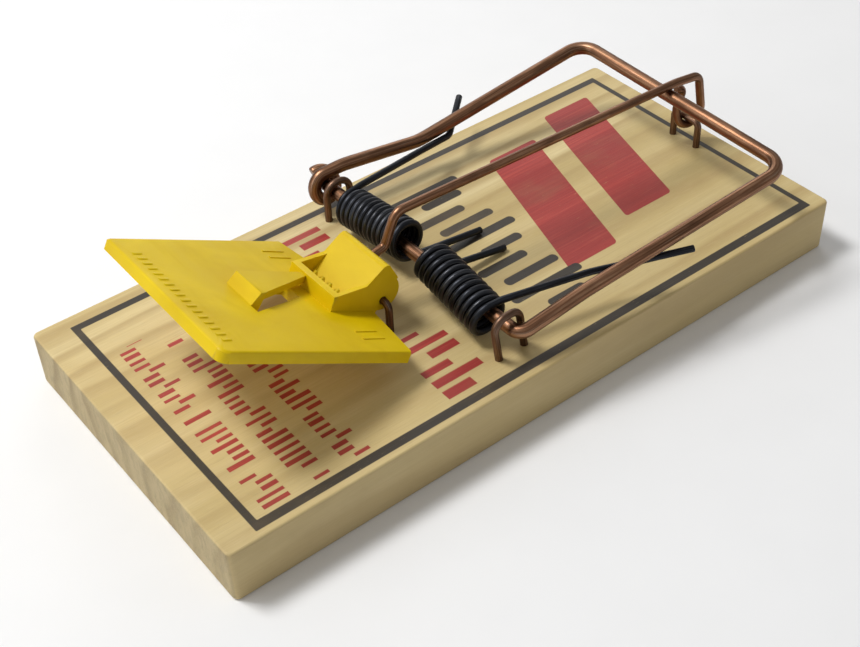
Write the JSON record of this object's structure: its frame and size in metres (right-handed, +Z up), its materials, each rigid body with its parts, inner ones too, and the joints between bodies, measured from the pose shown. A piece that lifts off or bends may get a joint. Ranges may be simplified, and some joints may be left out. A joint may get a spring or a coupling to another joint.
{
  "type": "rat-size wooden snap trap, shown set",
  "caption": "Wooden snap trap, set: sprung wire hammer held back by a wire hold-down bar whose end sits in the catch of a moulded trip pedal.",
  "frame": {"origin": "centre of the flat underside of the board", "axes": "+X along the board to the end that carries the hold-down bar, -X to the pedal end, +Y across the board to the side with the hammer's eye, +Z up"},
  "size_m": [0.175, 0.0855, 0.0447],
  "materials": {
    "board_wood": "planed pale pine, printed in black and red",
    "staple_wire": "dull coppered steel wire",
    "spring_steel": "dark oiled spring wire",
    "coppered_wire": "drawn coppered steel wire",
    "pedal_plastic": "yellow moulded plastic"
  },
  "bodies": {
    "base": {"base_board": "board_wood", "left_axle_staple": "staple_wire", "right_axle_staple": "staple_wire", "hold_down_staple": "staple_wire", "pedal_hinge_staple": "staple_wire", "left_spring": "spring_steel", "right_spring": "spring_steel"},
    "hammer": {"hammer": "coppered_wire"},
    "hold_down": {"hold_down_bar": "coppered_wire"},
    "pedal": {"trip_pedal": "pedal_plastic"}
  },
  "joints": [
    {"name": "hammer_swing", "type": "hinge", "parent": "base", "child": "hammer", "pos_m": [-0.0084, 0, 0.0212], "axis": [0, -1, 0], "range_deg": [0, 175.2], "deforming": ["left_spring", "right_spring"]},
    {"name": "hold_down_swing", "type": "hinge", "parent": "base", "child": "hold_down", "pos_m": [0.0798, 0, 0.0212], "axis": [0, 1, 0], "range_deg": [0, 115]},
    {"name": "pedal_tilt", "type": "hinge", "parent": "base", "child": "pedal", "pos_m": [-0.0245, 0, 0.0218], "axis": [0, -1, 0], "range_deg": [-2, 31]}
  ]
}
